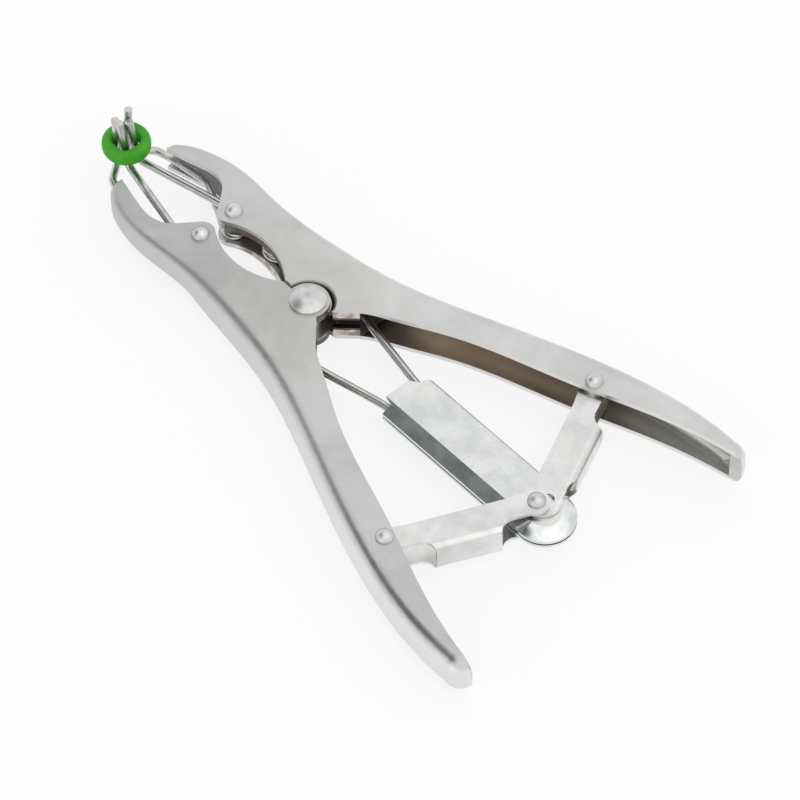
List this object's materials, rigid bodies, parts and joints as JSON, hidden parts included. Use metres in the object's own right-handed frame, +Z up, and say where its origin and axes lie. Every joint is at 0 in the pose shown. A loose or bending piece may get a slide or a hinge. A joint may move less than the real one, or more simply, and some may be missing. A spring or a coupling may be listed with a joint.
{
  "type": "castration ring pliers",
  "caption": "Hand pliers for castration rings: pressed steel channel handles, toggle links, a sliding sleeve and sprung wire prongs that stretch a rubber ring.",
  "frame": {"origin": "on the main pivot's axis, at the flat underside of the main rivet's tail", "axes": "+X along the tool's middle line from the jaws back towards the grips, +Y towards the right handle, +Z up along the main pivot, out of the domed rivet head"},
  "size_m": [0.2168, 0.1152, 0.0276],
  "materials": {
    "plated_sheet": "bright zinc or nickel plating on pressed steel sheet, satin on the flat faces",
    "rivet_steel": "plated, satin",
    "link_sheet": "bright plated",
    "sleeve_sheet": "plated, lightly mottled",
    "spring_wire": "drawn spring wire, satin",
    "green_rubber": "smooth moulded rubber"
  },
  "bodies": {
    "left_side": {"left_handle": "plated_sheet", "main_rivet": "rivet_steel", "pivot_bush": "rivet_steel", "left_jaw_rivet": "rivet_steel", "left_link_rivet": "rivet_steel", "left_front_prong": "spring_wire", "rubber_ring": "green_rubber"},
    "right_side": {"right_handle": "plated_sheet", "right_jaw_rivet": "rivet_steel", "right_link_rivet": "rivet_steel", "right_link_collar_top": "rivet_steel", "right_link_collar_bottom": "rivet_steel", "right_front_prong": "spring_wire"},
    "left_link_body": {"left_link": "link_sheet"},
    "right_link_body": {"right_link": "link_sheet"},
    "sleeve": {"sleeve_shell": "sleeve_sheet", "toggle_rivet": "rivet_steel", "rear_wire_hairpin": "spring_wire"},
    "left_rear_prong_body": {"left_rear_prong": "spring_wire"},
    "right_rear_prong_body": {"right_rear_prong": "spring_wire"}
  },
  "joints": [
    {"name": "squeeze", "type": "hinge", "parent": "left_side", "child": "right_side", "pos_m": [0, 0, 0.00795], "axis": [0, 0, -1], "range_deg": [0, 34], "stiffness_Nm_per_rad": 0.6, "deforming": ["rubber_ring"]},
    {"name": "left_link_pivot", "type": "hinge", "parent": "left_side", "child": "left_link_body", "pos_m": [0.0785, -0.041, 0.00795], "axis": [0, 0, -1], "range_deg": [0, 61.1]},
    {"name": "toggle_pivot", "type": "hinge", "parent": "left_link_body", "child": "sleeve", "pos_m": [0.0975, 0, 0.00795], "axis": [0, 0, 1], "range_deg": [0, 44.1]},
    {"name": "right_link_pivot", "type": "hinge", "parent": "right_side", "child": "right_link_body", "pos_m": [0.0785, 0.041, 0.00795], "axis": [0, 0, 1], "range_deg": [0, 61.1]},
    {"name": "right_coil_flex", "type": "hinge", "parent": "sleeve", "child": "right_rear_prong_body", "pos_m": [-0.0256, 0.0116, 0.00795], "axis": [0, 0, -1], "range_deg": [0, 22.5], "deforming": ["right_rear_prong"]},
    {"name": "left_coil_flex", "type": "hinge", "parent": "sleeve", "child": "left_rear_prong_body", "pos_m": [-0.0256, -0.0116, 0.00795], "axis": [0, 0, 1], "range_deg": [0, 22.5], "deforming": ["left_rear_prong"]}
  ],
  "couplings": [
    {"joint": "left_link_pivot", "follows": "squeeze", "ratio": 1.7956},
    {"joint": "toggle_pivot", "follows": "squeeze", "ratio": 1.2956},
    {"joint": "right_link_pivot", "follows": "squeeze", "ratio": 1.7956},
    {"joint": "right_coil_flex", "follows": "squeeze", "ratio": 0.66},
    {"joint": "left_coil_flex", "follows": "squeeze", "ratio": 0.66}
  ]
}
